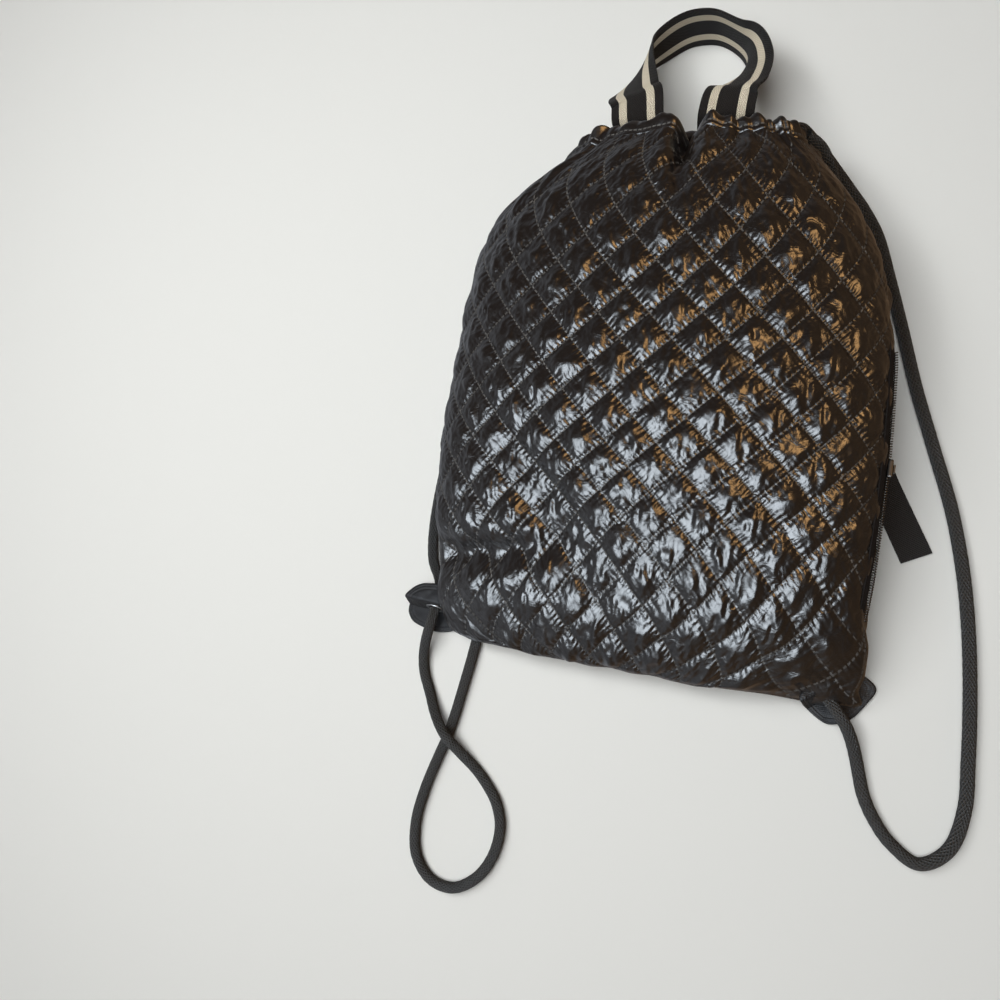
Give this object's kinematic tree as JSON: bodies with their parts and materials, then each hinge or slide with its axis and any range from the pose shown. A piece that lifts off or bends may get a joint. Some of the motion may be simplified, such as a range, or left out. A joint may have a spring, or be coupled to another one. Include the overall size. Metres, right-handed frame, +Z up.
{
  "type": "quilted puffer backpack",
  "caption": "Padded diamond-quilted drawstring backpack lying on its back, with cord straps through corner eyelets, a webbing carry handle and a side zip.",
  "frame": {"origin": "on the surface the bag lies on, under the middle of its length and width", "axes": "+Y towards the mouth, +Z up out of the front panel, +X towards the side with the zip"},
  "size_m": [0.4003, 0.6722, 0.104],
  "materials": {
    "quilted_nylon": "glossy",
    "striped_webbing": "matte",
    "corner_cloth": "satin",
    "eyelet_metal": "satin",
    "braided_cord": "matte",
    "zip_tape": "matte",
    "zip_metal": "satin",
    "plain_webbing": "matte"
  },
  "bodies": {
    "root": {"quilted_body": "quilted_nylon", "drawstring_casing": "quilted_nylon", "carry_handle": "striped_webbing", "left_corner_patch": "corner_cloth", "right_corner_patch": "corner_cloth", "left_eyelet": "eyelet_metal", "right_eyelet": "eyelet_metal", "left_cord": "braided_cord", "right_cord": "braided_cord", "side_zip_tape": "zip_tape", "side_zip_coil_lower": "zip_metal", "side_zip_coil_upper": "zip_metal", "zip_slider": "zip_metal", "zip_puller": "zip_metal", "side_strap": "plain_webbing"}
  },
  "joints": []
}
